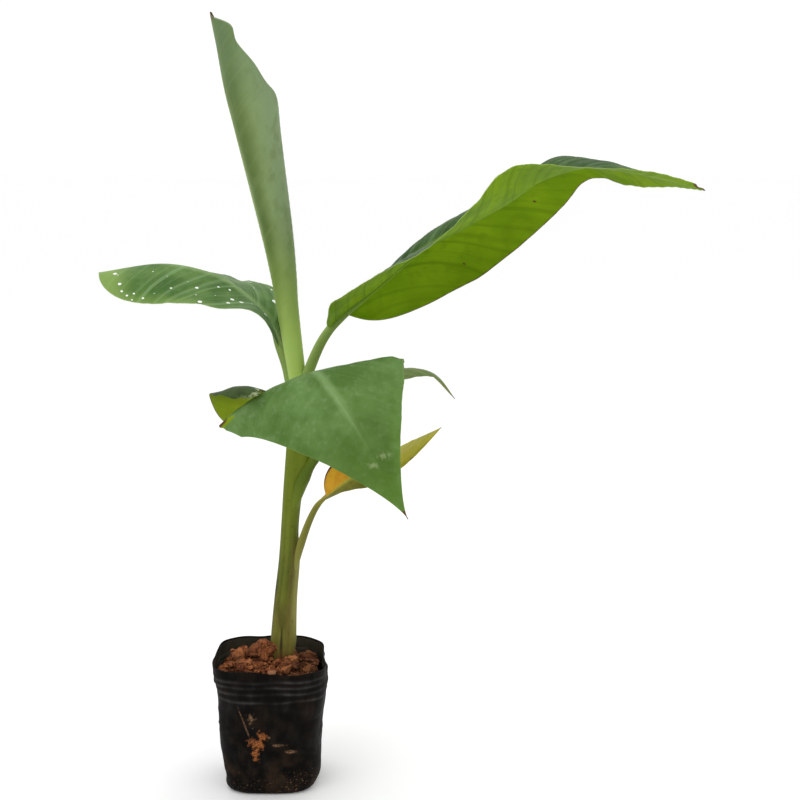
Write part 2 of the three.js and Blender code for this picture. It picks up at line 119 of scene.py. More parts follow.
# Half a blade: its half width and where it is widest, powers of its outline to base and tip, shares of the
# rib with the slopes there at the rib and at the edge, where it starts, and how late its slope turns
Half = namedtuple("Half", "width widest base tip at root edge start bend", defaults=(0.0, 1))
LEAVES = {
    "left": {
        "path": [[27, 5, 384], [22, 8, 416], [14, 10, 440], [2, 13, 470], [-29, 18, 500], [-59, 24, 515],
                 [-105, 30, 522], [-167, 34, 513]],
        "across": [0.1, 1, 0], "square": 1, "radii": [5.6, 6.2, 5], "wave": 0.35, "rows": 190,
        "left": Half(60, 0.6, (1.7, 0.8), (3, 0.6), [0, 0.1, 0.2, 0.32, 0.44, 0.56, 0.7, 0.85, 1],
                     [4, 10, 8, -20, -28, -30, -26, -14, 0], [-17, -6, -6, -26, -28, -32, -45, -62, -75]),
        "right": Half(60, 0.5, (1.7, 0.8), (3, 0.6), [0, 0.12, 0.24, 0.36, 0.48, 1],
                      [70, 66, 27, 0, -9, -13], [-15, 0, 15, 5, -4, -14]),
    },
    "right": {
        "path": [[32, -1, 384], [42.5, -5, 422], [65, -16, 465], [112, -42, 507], [152, -65, 542],
                 [190, -86, 564], [228, -108, 587], [256, -123, 607], [290, -142, 618], [314, -156, 617],
                 [348, -175, 610], [385, -196, 601]],
        "across": [-0.56, -0.83, 0], "square": 1, "radii": [6, 5.6, 4.8], "wave": 0.3, "rows": 380,
        "end": 0.985,
        "left": Half(118, 0.38, (2.6, 0.5), (2, 0.65),
                     [0, 0.1, 0.2, 0.32, 0.45, 0.58, 0.64, 0.68, 0.74, 0.8, 0.88, 1],
                     [17, 50, 62, 65, 63, 59, 59, 45, 27, 15, 6, 1],
                     [-80, -78, -83, -90, -70, -51, -47, -40, -41, -35, -24, -15], start=0.05, bend=0.8),
        "right": Half(84, 0.4, (2.6, 0.66), (2, 0.65),
                      [0, 0.12, 0.22, 0.3, 0.38, 0.46, 0.56, 0.66, 0.76, 0.86, 1],
                      [-9, -2, -6, -8, -8, -6, -2, 4, 1, 5, 14],
                      [-20, -4, -14, -18, -18, -13, -5, 9, 2, 11, 28]),
    },
    "front": {
        "path": [[21.5, -3, 272], [36.5, -8, 316], [51, -20, 345], [55, -70, 396], [54, -138, 440],
                 [73, -168, 427], [97, -186, 393], [118, -190, 356], [138, -190, 319]],
        "across": [-0.957, 0, -0.29], "square": 0, "radii": [4, 8.6, 5.4], "wave": 0.3, "rows": 260,
        "left": Half(82, 0.46, (1.3, 1), (1.35, 1.45), [0, 0.3, 0.46, 0.54, 0.62, 0.7, 0.85, 1],
                     [-14, -12, -5, -6, -12, -14, -10, 0], [-30, -24, -7, -14, -28, -30, -26, -10]),
        "right_back": Half(95, 0.46, (1.5, 0.8), (1.5, 0.8), [0, 0.2, 0.3, 0.38, 0.46], [0, 0, 0, 0, -2],
                           [-14, -8, -10, -14, 11]),
        "right_fall": Half(106, 0.56, (1.3, 1), (1.2, 1.5), [0.45, 0.5, 0.56, 0.63, 0.7, 0.85, 1],
                           [-2, -2, -3, -4, -6, -6, -4], [-28, -30, -37, -36.5, -28, -10, -4], bend=1.4),
    },
    "back": {
        "path": [[30, 2, 340], [48, 8, 368], [72, 16, 384], [100, 30, 404], [134, 44, 415], [165, 54, 409],
                 [187, 60, 382]],
        "across": [0.3, -1, 0], "square": 1, "radii": [4.4, 4, 3.6], "wave": 0.3, "rows": 140,
        "left": Half(30, 0.45, (2.2, 0.5), (1.4, 1), [0, 1], [-5, -5], [-10, -10]),
        "right": Half(30, 0.45, (2.2, 0.5), (1.4, 1), [0, 0.6, 1], [-5, -6, -4], [-10, -13, -10]),
    },
    "old": {
        "path": [[22, -2, 206], [33.8, -7, 251], [48, -12, 285.5], [64.5, -20, 303.5], [87, -36, 324],
                 [129, -66, 349], [169, -92, 381]],
        "across": [-0.5, -0.86, 0], "square": 1, "radii": [2.6, 4.3, 3.4], "wave": 0.4, "rows": 150,
        "left": Half(28, 0.3, (2.4, 0.4), (1.6, 1), [0, 0.2, 0.5, 0.75, 1], [60, 60, 20, 24, 20],
                     [80, 76, 26, 30, 24], start=0.1),
        "right": Half(27, 0.5, (1.3, 1), (1.6, 1), [0, 0.3, 1], [-20, -30, -40], [-30, -40, -50]),
    },
}
FRONT_SPLIT = 0.455  # share of the front leaf's rib at its tear
RIGHT_SPECKS = [[0.29, 0.83], [0.514, 0.78]]  # [share of the rib, share across]

# Shape helpers


def unit(v):
    """Each vector divided by its own length."""
    return v / np.linalg.norm(v, axis=-1, keepdims=True)


def smooth(x, low, high):
    """Smooth step: 3t^2 - 2t^3 of the share t of the way from low to high, which may be the lower one."""
    t = np.clip((x - low) / (high - low), 0, 1)
    return t * t * (3 - 2 * t)


def bell(x, width):
    """e^-(x/width)^2: 1 at 0, dying away to both sides."""
    return np.exp(-((x / width) ** 2))


def apart(turn, middle):
    """How far round directions are from a middle one, between -pi and pi."""
    return (turn - middle + math.pi) % TAU - math.pi


def curve(rows, first, last):
    """The curve 0.5(2b + (c-a)t + (2a-5b+4c-d)t^2 + (3b-a-3c+d)t^3) through rows of control values."""
    p = np.array(rows, float)
    p = np.vstack([2 * p[0] - p[1], p, 2 * p[-1] - p[-2]])
    k = np.linspace(first, last, CURVE_STEPS * (last - first) + 1)
    i = np.minimum(k.astype(int), len(rows) - 2)
    t = (k - i)[:, None]
    a, b, c, d = p[i], p[i + 1], p[i + 2], p[i + 3]
    return 0.5 * (2 * b + (c - a) * t + (2 * a - 5 * b + 4 * c - d) * t**2 + (3 * b - a - 3 * c + d) * t**3)


def table(rows, keys):
    """Values at keys on the smooth curve through rows of [key, value, value ...]."""
    dense = curve(rows, 0, len(rows) - 1)
    return [np.interp(keys, dense[:, 0], dense[:, k]) for k in range(1, dense.shape[1])]


def ease(stations, values, u):
    """Values at shares u on the smooth curve through the stations."""
    return table(list(zip(stations, values)), u)[0]


def run(path, first, last, shares):
    """Points and headings at shares of the arc length between two control points, and that length."""
    dense = curve(path, first, last)
    arc = np.concatenate([[0], np.cumsum(np.linalg.norm(np.diff(dense, axis=0), axis=1))])

    def at(distance):
        return np.stack([np.interp(distance, arc, dense[:, k]) for k in range(3)], -1)

    distance = np.asarray(shares, float) * arc[-1]
    heading = unit(at(np.minimum(distance + 0.5, arc[-1])) - at(np.maximum(distance - 0.5, 0)))
    return at(distance), heading, arc[-1]


def sideways(heading, leaf):
    """Across the rib and above it: the leaf's across direction, squared to each heading unless its side
    veins stay parallel, and the cross product with the heading."""
    a = np.array(leaf["across"], float)
    b = unit(a - leaf["square"] * (heading @ a)[:, None] * heading)
    return b, unit(np.cross(b, heading))


def half_width(h, u):
    """(1-(1-u/w)^p)^q up to the widest share w, and the same form drawn in from there to the tip."""
    u = np.clip((u - h.start) / (1 - h.start), 0, 1)
    low = np.clip(1 - u / h.widest, 0, 1)
    high = np.clip((u - h.widest) / (1 - h.widest), 0, 1)
    form = np.where(u < h.widest, (1 - low ** h.base[0]) ** h.base[1],
                    (1 - high ** h.tip[0]) ** h.tip[1])
    return np.maximum(h.width * form, 0.4)


def half_blade(leaf, h, sign, u, s):
    """At share u of the rib the blade runs out on an arc whose slope turns from its root to its edge angle.
    s is the share of the half width. Gives points, upper normals, half widths and the rib's length."""
    rib, heading, length = run(leaf["path"], STALK_END, len(leaf["path"]) - 1, u)
    b, n = sideways(heading, leaf)
    width = half_width(h, u)
    root, edge = np.radians(ease(h.at, h.root, u)), np.radians(ease(h.at, h.edge, u))
    middle = root[:, None] + (edge - root)[:, None] * ((s[1:] + s[:-1]) / 2) ** h.bend
    steps = [np.cumsum(part * np.diff(s), 1) * width[:, None] for part in (np.cos(middle), np.sin(middle))]
    x, y = (np.concatenate([np.zeros((len(u), 1)), step], 1) for step in steps)
    slope = (root[:, None] + (edge - root)[:, None] * s ** h.bend)[..., None]
    points = placed(rib, sign * x, b, y, n)
    normals = np.cos(slope) * n[:, None] - sign * np.sin(slope) * b[:, None]
    return points, normals, width, length


def between(grid, rows):
    """A grid's values at other shares of its first side, column by column, by straight steps."""
    place = rows * (len(grid) - 1)
    low = np.clip(place.astype(int), 0, len(grid) - 2)
    part = (place - low).reshape(place.shape + (1,) * (grid.ndim - 2))
    columns = np.arange(grid.shape[1])[None]
    return grid[low, columns] * (1 - part) + grid[low + 1, columns] * part


def circle(count):
    """Directions all round, evenly apart."""
    return np.linspace(0, TAU, count, endpoint=False)[None]


def polar(reach, turn, z):
    """Points at a reach in each direction: (r cos, r sin, z)."""
    return np.stack(np.broadcast_arrays(reach * np.cos(turn), reach * np.sin(turn), z), -1)


def placed(spots, x, b, y, n):
    """Rows of points round one spot a row: spot + x b + y n."""
    return spots[:, None] + x[..., None] * b[:, None] + y[..., None] * n[:, None]


def strips(rows, around):
    """Numbers of the points on closed rings, the same one step round, and the faces between the rings."""
    index = np.arange(rows * around).reshape(rows, around)
    after = np.roll(index, -1, 1)
    return index, after, np.stack([index[:-1], after[:-1], after[1:], index[1:]], -1).reshape(-1, 4)


class Piece:
    """Gathers grids of points and their painted values, then fills one mesh from them."""

    def __init__(self, name):
        self.name, self.count, self.points, self.faces, self.paint = name, 0, [], [], []

    def add(self, points, faces, paint):
        """Points as (n, 3), faces as index arrays, and one painted value for each point."""
        self.points.append(points)
        self.faces += [(f + self.count).tolist() for f in faces]
        self.paint.append((len(points), paint))
        self.count += len(points)

    def rings(self, rings, **paint):
        """Closed rings stacked along the first side, with a middle point closing each end."""
        rows, around = rings.shape[:2]
        index, after, quads = strips(rows, around)
        low = np.stack([np.full(around, rows * around), after[0], index[0]], -1)
        high = np.stack([np.full(around, rows * around + 1), index[-1], after[-1]], -1)
        points = np.concatenate([rings.reshape(-1, 3), rings[[0, -1]].mean(1)])
        painted = {}
        for k, v in paint.items():
            v = np.broadcast_to(v, (rows, around))
            painted[k] = np.concatenate([v.ravel(), v[[0, -1]].mean(1)])
        self.add(points, [quads, low, high], painted)

    def sheet(self, upper, lower, **paint):
        """A thin closed sheet: an upper and a lower skin joined all round by a narrow rim."""
        rows, columns = upper.shape[:2]
        points = np.concatenate([upper, lower[:, ::-1]], 1)
        index, _, quads = strips(rows, 2 * columns)
        top, under = index[:, :columns], index[:, ::-1][:, :columns]
        first = np.stack([top[0, :-1], under[0, :-1], under[0, 1:], top[0, 1:]], -1)
        last = np.stack([top[-1, :-1], top[-1, 1:], under[-1, 1:], under[-1, :-1]], -1)
        painted = {}
        for k, v in paint.items():
            v = np.broadcast_to(v, (rows, columns))
            painted[k] = np.concatenate([v, v[:, ::-1]], 1).ravel()
        painted["under"] = np.repeat([[0.0] * columns + [1.0] * columns], rows, 0).ravel()
        self.add(points.reshape(-1, 3), [quads, first, last], painted)

    def lumps(self, shapes, **paint):
        """Round lumps of one layout: shapes is (lumps, rows, around, 3), paint has a value for each lump."""
        for k, shape in enumerate(shapes):
            self.rings(shape, **{name: values[k] for name, values in paint.items()})

    def make(self, finish, nodes, sharp=40):
        """Fills the mesh, paints its values as attributes, and sets it on the part for the named nodes."""
        mesh = bpy.data.meshes.new(self.name)
        points = np.concatenate(self.points) * MM
        mesh.from_pydata(points, [], [face for block in self.faces for face in block])
        for key in sorted({k for _, paint in self.paint for k in paint}):
            values = np.concatenate([paint.get(key, np.zeros(n)) for n, paint in self.paint])
            mesh.attributes.new(key, "FLOAT", "POINT").data.foreach_set("value", values.astype(np.float32))
        mesh.polygons.foreach_set("use_smooth", np.ones(len(mesh.polygons), bool))
        mesh.set_sharp_from_angle(angle=math.radians(sharp))
        mesh.materials.append(finish)
        piece = bpy.data.objects.new(self.name, mesh)
        bpy.context.scene.collection.objects.link(piece)
        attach(piece, "root")
        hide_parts(*nodes)


# Finish helpers


def rgb(red, green, blue):
    """A display colour, 0 to 255, as the linear colour that a shader takes."""
    c = np.array([red, green, blue]) / 255
    return (*np.where(c <= 0.04045, c / 12.92, ((c + 0.055) / 1.055) ** 2.4).tolist(), 1.0)


class Value:
    """A shader socket that Python's operators work on, each adding one Math node."""

    def __init__(self, finish, socket):
        self.finish, self.socket = finish, socket

    def maths(self, operation, *inputs):
        return self.finish.node("ShaderNodeMath", {"operation": operation}, dict(enumerate(inputs)))

    def __add__(self, other):
        return self.maths("ADD", self, other)

    __radd__ = __add__

    def __sub__(self, other):
        return self.maths("SUBTRACT", self, other)

    def __rsub__(self, other):
        return self.maths("SUBTRACT", other, self)

    def __mul__(self, other):
        return self.maths("MULTIPLY", self, other)

    def __pow__(self, other):
        return self.maths("POWER", self, other)

    def step(self, low, high):
        """Smooth step from 0 at low to 1 at high. It falls where low is greater."""
        inputs = {"Value": self, "From Min": low, "From Max": high}
        return self.finish.node("ShaderNodeMapRange", {"interpolation_type": "SMOOTHSTEP"}, inputs)


class Finish:
    """A material whose nodes are added by expressions. Its constants name inputs of the shader."""

    def __init__(self, name, **constants):
        self.material = bpy.data.materials.new(name)
        self.material.use_nodes = True
        self.tree = self.material.node_tree
        self.shader = next(n for n in self.tree.nodes if n.type == "BSDF_PRINCIPLED")
        for key, value in constants.items():
            self.shader.inputs[key.replace("_", " ")].default_value = value

    def node(self, kind, settings, inputs, output=0):
        """Any node: its settings first, then values or links of its sockets."""
        made = self.tree.nodes.new(kind)
        for key, value in settings.items():
            setattr(made, key, value)
        for key, value in inputs.items():
            if isinstance(value, Value):
                self.tree.links.new(value.socket, made.inputs[key])
            else:
                made.inputs[key].default_value = value
        return Value(self, made.outputs[output])

    def painted(self, *names):
        """Values painted on the mesh's points."""
        return [self.node("ShaderNodeAttribute", {"attribute_name": name}, {}, "Fac") for name in names]

    def place(self):
        """Object coordinates in metres."""
        return self.node("ShaderNodeTexCoord", {}, {}, "Object")

    def axes(self):
        """Object coordinates in millimetres as three values."""
        parts = self.place()
        split = [self.node("ShaderNodeSeparateXYZ", {}, {0: parts}, k) for k in range(3)]
        return [part * (1 / MM) for part in split]

    def noise(self, size, detail, stretch=None):
        """Cloudy pattern whose patches are about size millimetres across."""
        vector = self.place()
        if stretch:
            vector = self.node("ShaderNodeMapping", {}, {"Vector": vector, "Scale": stretch})
        inputs = {"Vector": vector, "Scale": 1 / (size * MM), "Detail": detail}
        return self.node("ShaderNodeTexNoise", {}, inputs)

    def streaks(self, line, size, detail):
        """Bands of uneven width along one painted line of values, about size millimetres each."""
        settings = {"noise_dimensions": "1D"}
        return self.node("ShaderNodeTexNoise", settings, {"W": line, "Scale": 1 / size, "Detail": detail})

    def mix(self, share, a, b):
        """Colour a turning into colour b. A plain tuple is a display colour."""
        a, b = (rgb(*colour) if isinstance(colour, tuple) else colour for colour in (a, b))
        return self.node("ShaderNodeMix", {"data_type": "RGBA"}, {0: share, 6: a, 7: b}, 2)

    def coats(self, base, *coats):
        """A base colour under coats, each a share and a colour, laid on in turn."""
        for share, colour in coats:
            base = self.mix(share, base, colour)
        return base

    def done(self, colour, roughness, height, depth, strength):
        """Links the colour, the roughness and the relief, which is depth millimetres deep."""
        inputs = {"Height": height, "Distance": depth * MM, "Strength": strength}
        bump = self.node("ShaderNodeBump", {}, inputs)
        for key, value in (("Base Color", colour), ("Roughness", roughness), ("Normal", bump)):
            self.tree.links.new(value.socket, self.shader.inputs[key])
        return self.material


def leaf_finish(name, upper, deep, pale, lower, lower_deep, lower_pale, rib, hem, ripe,
                bloom=0.0, streak=1.0, gloss=0.12):
    """Leaf skin: green in cloudy patches, with streaks along the side veins, a pale hem and rib, and dry
    brown ends. The underside has its own greens; ripe is the yellowing green, bloom a share of waxy grey
    above, streak how strongly the veins show, and gloss the level of its mirror light."""
    f = Finish(name, Specular_IOR_Level=gloss)
    vein, from_rib, margin, under, dry = f.painted("vein", "rib", "margin", "under", "dry")
    warm, turning, fleck, scuff, shade = f.painted("warm", "ripe", "fleck", "scuff", "shade")
    clouds, mottle, grain = f.noise(38, 3), f.noise(12, 5), f.noise(4.5, 4)
    broad, fine, threads = f.streaks(vein, 9.0, 3), f.streaks(vein, 2.2, 2), f.streaks(vein, 0.8, 1)
    top = f.coats(
        f.mix(clouds.step(0.35, 0.68), upper, deep),
        (mottle.step(0.42, 0.68) * 0.5, deep),
        (broad.step(0.45, 0.75) * (0.3 * streak) + fine.step(0.5, 0.75) * (0.14 * streak), pale),
        (grain.step(0.5, 0.8) * (0.06 + bloom), (150, 172, 138)),
    )
    low = f.coats(
        f.mix(clouds.step(0.35, 0.7), lower, lower_pale),
        (mottle.step(0.45, 0.7) * (0.3 * streak), lower_deep),
        (broad.step(0.45, 0.72) * (0.35 * streak) + fine.step(0.5, 0.72) * (0.15 * streak), lower_deep),
    )
    orange = f.mix(mottle.step(0.4, 0.65), (216, 164, 46), (204, 146, 34))
    brown = f.mix(fine, (58, 42, 24), (108, 80, 46))
    skin = f.coats(
        f.mix(under, top, low),
        (from_rib.step(7.0, 0.4) * (1 - under * 0.6) * 0.55, rib),
        (margin.step(1.3, 0.2) * 0.6, hem),
        (turning * (0.6 + clouds * 0.6), ripe),
        (shade * (0.6 + mottle * 0.7) * (1 - under * 0.45), (40, 56, 16)),
        # pale scuff marks, and on the rear lobe a painted sheen of reflected light
        (scuff * grain.step(0.42, 0.6), (160, 172, 128)),
        (warm, orange),
        ((dry + (grain - 0.5) * 0.5 * dry.step(0.05, 0.4)).step(0.25, 0.6), brown),
        (fleck, (238, 242, 234)),
    )
    rough = 0.5 + under * 0.1 + dry * 0.25 + fleck * 0.3 + (clouds - 0.5) * 0.16
    relief = broad * 0.5 + fine * 0.5 + threads * 0.25
    return f.done(skin, rough, relief, depth=0.3, strength=0.4)


def stalk_finish(name, side, groove, shade, stain, foot, rib_top, rib_low):
    """Stalk and rib skin: a paler groove above, fine lengthwise lines, the stem's colour and stained
    patches at the foot. Along the blade it turns into the rib's own colours above and below."""
    f = Finish(name, Specular_IOR_Level=0.15)
    rise, turn, reach, blade = f.painted("rise", "turn", "reach", "blade")
    lines, patches = f.streaks(turn, 0.16, 2), f.noise(16, 4, stretch=(1, 1, 0.35))
    skin = f.coats(
        f.mix(rise.step(-0.2, 0.75), side, groove),
        (rise.step(0.1, -0.95) * 0.5, shade),
        (reach.step(55, 10), foot),
        (lines.step(0.5, 0.75) * 0.2, groove),
        (patches.step(0.56, 0.74) * reach.step(90, 20) * 0.45, stain),
        (blade, f.mix(rise.step(-0.15, 0.3), rib_low, rib_top)),
    )
    return f.done(skin, 0.44 + patches * 0.18, lines * 0.6 + patches * 0.3, depth=0.22, strength=0.45)


def stem_finish():
    """Stem of wrapped sheaths: olive green in lengthwise streaks, browned low down and along the sheath
    edges, and one pale strip where the old leaf's sheath runs down."""
    f = Finish("stem_sheath_skin", Specular_IOR_Level=0.12)
    turn, edge, height, strip, brown, dark = f.painted("turn", "edge", "height", "strip", "brown", "dark")
    lines, wide = f.streaks(turn, 0.09, 3), f.streaks(turn, 0.6, 2)
    stains, mottle = f.noise(15, 5, stretch=(1, 1, 0.28)), f.noise(5, 4)
    specks = f.noise(2.2, 3, stretch=(1, 1, 0.5))
    low = height.step(300, 150)
    skin = f.coats(
        f.mix(wide.step(0.4, 0.65), (82, 90, 21), (96, 104, 33)),
        (height.step(200, 330) * 0.75, (104, 122, 28)),
        (lines.step(0.5, 0.75) * 0.14, (66, 78, 20)),
        (height.step(190, 212) * height.step(248, 226) * 0.25, (60, 64, 22)),
        (height.step(200, 168) * 0.45, (120, 110, 48)),
        (stains.step(0.42, 0.62) * (0.12 + low * 0.6), (66, 62, 22)),
        (mottle.step(0.5, 0.7) * (0.2 + low * 0.3), (106, 98, 46)),
        (edge.step(2.0, 0.2) * (0.08 + low * 0.16) * (0.3 + stains * 0.6), (62, 50, 24)),
        (strip * 0.8, (132, 128, 72)),
        (brown * (stains * 1.5 - 0.2), (80, 56, 32)),
        (specks.step(0.64, 0.72) * 0.55, (48, 40, 18)),
        (dark * (0.5 + mottle * 0.6), (38, 30, 18)),
        (height.step(144, 128) * stains.step(0.35, 0.6) * 0.6, (110, 68, 40)),
    )
    relief = lines * 0.4 + mottle * 0.5 + specks * 0.3
    return f.done(skin, 0.5 + stains * 0.2, relief, depth=0.3, strength=0.45)


def roll_finish():
    """Rolled leaf: waxy grey-green, yellower at its foot, with faint climbing veins and a brown tip. Its
    left side takes painted shade, and a paler waxy grey on the right carries a painted highlight.
    """
    f = Finish("rolled_leaf_skin", Specular_IOR_Level=0.14)
    vein, turn, height, margin, under, dry = f.painted("vein", "round", "height", "margin", "under", "dry")
    clouds, mottle = f.noise(30, 3), f.noise(10, 5, stretch=(1, 1, 0.6))
    broad, fine = f.streaks(vein, 11, 3), f.streaks(vein, 2.0, 2)
    side = turn.step(0.1, 0.8) * turn.step(1.8, 0.9) * height.step(430, 520)
    rib = turn.maths("ABSOLUTE", turn).step(0.4, 0.05)
    skin = f.coats(
        f.mix(clouds.step(0.35, 0.68), (120, 142, 84), (110, 130, 70)),
        # painted shade down the left side of the roll
        (side * (0.5 + clouds * 0.7), (76, 98, 46)),
        # paler waxy grey to the right, with a painted highlight
        (turn.step(1.0, 2.4) * height.step(470, 600) * 0.75, (128, 148, 112)),
        (height.step(650, 740) * 0.5, (100, 122, 92)),
        (broad.step(0.45, 0.7) * 0.1 + fine.step(0.5, 0.75) * 0.06, (136, 156, 104)),
        (mottle.step(0.48, 0.7) * 0.4, (94, 112, 60)),
        (height.step(570, 400) * 0.9, (160, 188, 90)),
        (rib * 0.5, (156, 178, 112)),
        (under * 0.85, (88, 116, 48)),
        (margin.step(1.6, 0.3) * 0.5, (160, 172, 138)),
        (dry, (78, 58, 36)),
    )
    return f.done(skin, 0.54 + clouds * 0.1, broad * 0.5 + fine * 0.5, depth=0.25, strength=0.35)


def bag_finish():
    """Black film: painted grey highlights on its creases, brown dust that gathers low, and dried smears of
    red soil.
    """
    f = Finish("bag_film", Specular_IOR_Level=0.035)
    x, y, z = f.axes()
    dust, grit, fleck = f.noise(20, 5), f.noise(1.6, 3), f.noise(3.4, 4)
    scratch = f.noise(8, 5, stretch=(1, 1, 0.4))
    crease, inner = f.painted("crease", "inner")
    film = f.coats(
        f.mix(scratch.step(0.45, 0.75), (9, 8, 7), (22, 19, 16)),
        # painted highlight: grey light on the raised creases
        (crease * (scratch * 1.5 - 0.25), (74, 72, 70)),
        (dust.step(0.45, 0.7) * (0.12 + z.step(70, 4) * 0.35), (62, 46, 34)),
        (grit.step(0.6, 0.68) * z.step(34, 0) * (0.3 + x.step(0, 40) * 0.6), (140, 106, 78)),
        (inner * (dust * 1.1 - 0.1), (78, 74, 62)),
    )
    front = y.step(-10, -30)

    def blot(cx, cz, half_x, half_z, lean, ragged):
        """An oval round a spot on the front, with a ragged rim: 1 inside, 0 well outside."""
        dx, dz = (x - cx + (z - cz) * lean) * (1 / half_x), (z - cz) * (1 / half_z)
        far = (dx * dx + dz * dz) ** 0.5 + (fleck - 0.5) * 3.0 * ragged + (grit - 0.5) * 1.4 * ragged
        return far.step(1.15, 0.45) * front

    rust = f.mix(grit.step(0.4, 0.62), (92, 54, 30), (166, 98, 52))
    tan = f.mix(grit.step(0.4, 0.65), (70, 52, 40), (150, 114, 84))
    for smears, share, colour in ((RUST_SMEARS, 0.85, rust), (TAN_SMEARS, 0.6, tan)):
        for smear in smears:
            film = f.mix(blot(*smear) * share, film, colour)
    rough = 0.42 + dust * 0.28 + grit * 0.1
    return f.done(film, rough, dust * 0.5 + scratch * 0.9 + grit * 0.3, depth=0.7, strength=0.6)


def soil_finish():
    """Red-brown clods: paler dry faces, damp patches, painted shade low down and under the lumps, and
    coarse gritty relief.
    """
    f = Finish("clod_soil", Specular_IOR_Level=0.08)
    tint, wet, pale = f.painted("tint", "wet", "pale")
    patches, grit, grains = f.noise(9, 5), f.noise(2.6, 5), f.noise(0.9, 3)
    skin = f.coats(
        f.mix(patches.step(0.36, 0.64), (78, 41, 25), (134, 76, 45)),
        (tint * patches.step(0.3, 0.6), (204, 130, 82)),
        (f.axes()[0].step(5, 45) * patches.step(0.3, 0.6) * 0.5, (84, 64, 44)),
        (grit.step(0.48, 0.64) * 0.75, (50, 27, 18)),
        (grains.step(0.58, 0.72) * 0.5, (196, 136, 96)),
        # painted shade low down and under the lumps, with damp patches
        (wet, (26, 16, 12)),
        (pale, (206, 148, 112)),
    )
    relief = patches * 0.6 + grit + grains * 0.4
    return f.done(skin, 0.9 + (grit - 0.5) * 0.1, relief, depth=2.2, strength=1.0)


# Leaves

RNG = np.random.default_rng(20)


def add_half(piece, leaf, h, sign, low, high, rows, marks):
    """Half a blade as a thin sheet, from share low to share high of the rib (each one value or one for each
    column), with shallow pleats along its side veins and a wavy margin. marks(u, s) gives the painted spots
    and, as lift, how far the blade stands off its even form."""
    s = ACROSS
    dense = np.linspace(0, 1, BLADE_ROWS)
    points, normals, width, length = half_blade(leaf, h, sign, dense, s)
    u = low + (high - low) * np.linspace(0, 1, rows)[:, None] * np.ones(len(s))
    points, normals = between(points, u), unit(between(normals, u))
    wide = np.interp(u, dense, width)
    along, out = u * length, s * wide
    vein = along - VEIN_SWEEP * out * (1 + 0.25 * s)
    phase = RNG.uniform(0, TAU, 5)
    drift = phase[0] + 1.5 * np.sin(along / 31)
    pleats = 0.08 * np.sin(TAU * vein / 4.6) + 0.2 * np.sin(TAU * vein / 16.3 + drift)
    wave = np.sin(TAU * along / 58 + phase[1]) + 0.6 * np.sin(TAU * along / 27 + phase[2])
    body = smooth(out, 1, 9) * smooth(wide, 4, 24)
    spots = marks(u, s + 0 * u)
    lift = pleats * body + leaf["wave"] * wave * s**3 * smooth(wide, 6, 40) + spots.pop("lift", 0)
    points = points + normals * lift[..., None]
    skin = normals * (BLADE_THICK / 2 * (1 - 0.45 * smooth(s, 0.6, 1)))[:, None]
    paint = {"vein": vein + sign * HALF_APART, "rib": out + 8 * smooth(u, 0.6, 0.9), "margin": wide - out,
             **spots}
    grids = [points + skin, points - skin]
    if sign < 0:
        grids = [g[:, ::-1] for g in grids]
        paint = {k: v[:, ::-1] for k, v in paint.items()}
    piece.sheet(*grids, **paint)


def spot(u, s, at_u, at_s, size_u, size_s):
    """A round spot: e^-(((u-a)/c)^2 + ((s-b)/d)^2)."""
    return bell(u - at_u, size_u) * bell(s - at_s, size_s)


def add_stalk(piece, leaf, halves):
    """The stalk, channelled above, running on as the midrib: its section turns from a notched round into a
    low ridge that follows the slopes of both halves of the blade and thins to the tip."""
    path, last = leaf["path"], len(leaf["path"]) - 1
    length = run(path, 0, last, [0.0])[2]
    foot = run(path, 0, STALK_END, [0.0])[2] / length
    shares = np.linspace(0, foot + leaf.get("end", 1) * (1 - foot), leaf["rows"])
    spots, heading, _ = run(path, 0, last, shares)
    b, n = sideways(heading, leaf)
    u = np.clip((shares - foot) / (1 - foot), 0, 1)
    radius = np.interp(shares / foot, np.linspace(0, 1, len(leaf["radii"])), leaf["radii"])
    turn = TAU - circle(STALK_SIDES)
    notch = 0.72 * bell(turn - math.pi / 2, 0.52) * smooth(shares, 0.1 * foot, 0.9 * foot)[:, None]
    stalk_x = radius[:, None] * (1 - notch) * np.cos(turn)
    stalk_y = radius[:, None] * (1 - notch) * np.sin(turn) * 0.95
    ridge = (leaf["radii"][-1] * 0.55 * (1 - u) ** 3 + 0.4)[:, None]
    rib_x = ridge * np.cos(turn)
    slopes = [np.tan(np.radians(ease(h.at, h.root, u)))[:, None] for h in halves]
    fold = np.where(np.cos(turn) < 0, slopes[0], slopes[1]) * np.abs(rib_x)
    rib_y = fold + np.where(np.sin(turn) > 0, 0.2, ridge * 1.05) * np.sin(turn)
    blend = smooth(u, 0.0, 0.16)[:, None]
    x, y = stalk_x * (1 - blend) + rib_x * blend, stalk_y * (1 - blend) + rib_y * blend
    rings = placed(spots, x, b, y, n)
    piece.rings(rings, rise=np.sin(turn), turn=turn, reach=(shares * length)[:, None], blade=blend)


def add_flecks(piece, leaf, flecks):
    """Small pale domes on the upper skin: balls p + n h sin(t) + r cos(t)(a cos(v) + b sin(v))."""
    tilt = np.linspace(-math.pi / 2, math.pi / 2, 7)[1:-1, None, None]
    turn = circle(9)[..., None]
    for name, spots in flecks:
        sign = {"left": -1, "right": 1}[name]
        for u, s, radius in spots:
            place = np.array([u, u + 0.01]), np.array([0, s])
            points, normals, _, _ = half_blade(leaf, leaf[name], sign, *place)
            p, n = points[0, 1], normals[0, 1]
            a = unit(points[1, 1] - p)
            b = np.cross(n, a)
            flat = radius * np.cos(tilt) * (a * np.cos(turn) * 1.15 + b * np.sin(turn) * 0.9)
            piece.rings(p + n * (0.25 + 0.35 * np.sin(tilt)) + flat, fleck=1.0)


GREEN_STALK = [(122, 146, 74), (146, 168, 98), (98, 120, 48), (96, 78, 46), (122, 148, 70)]
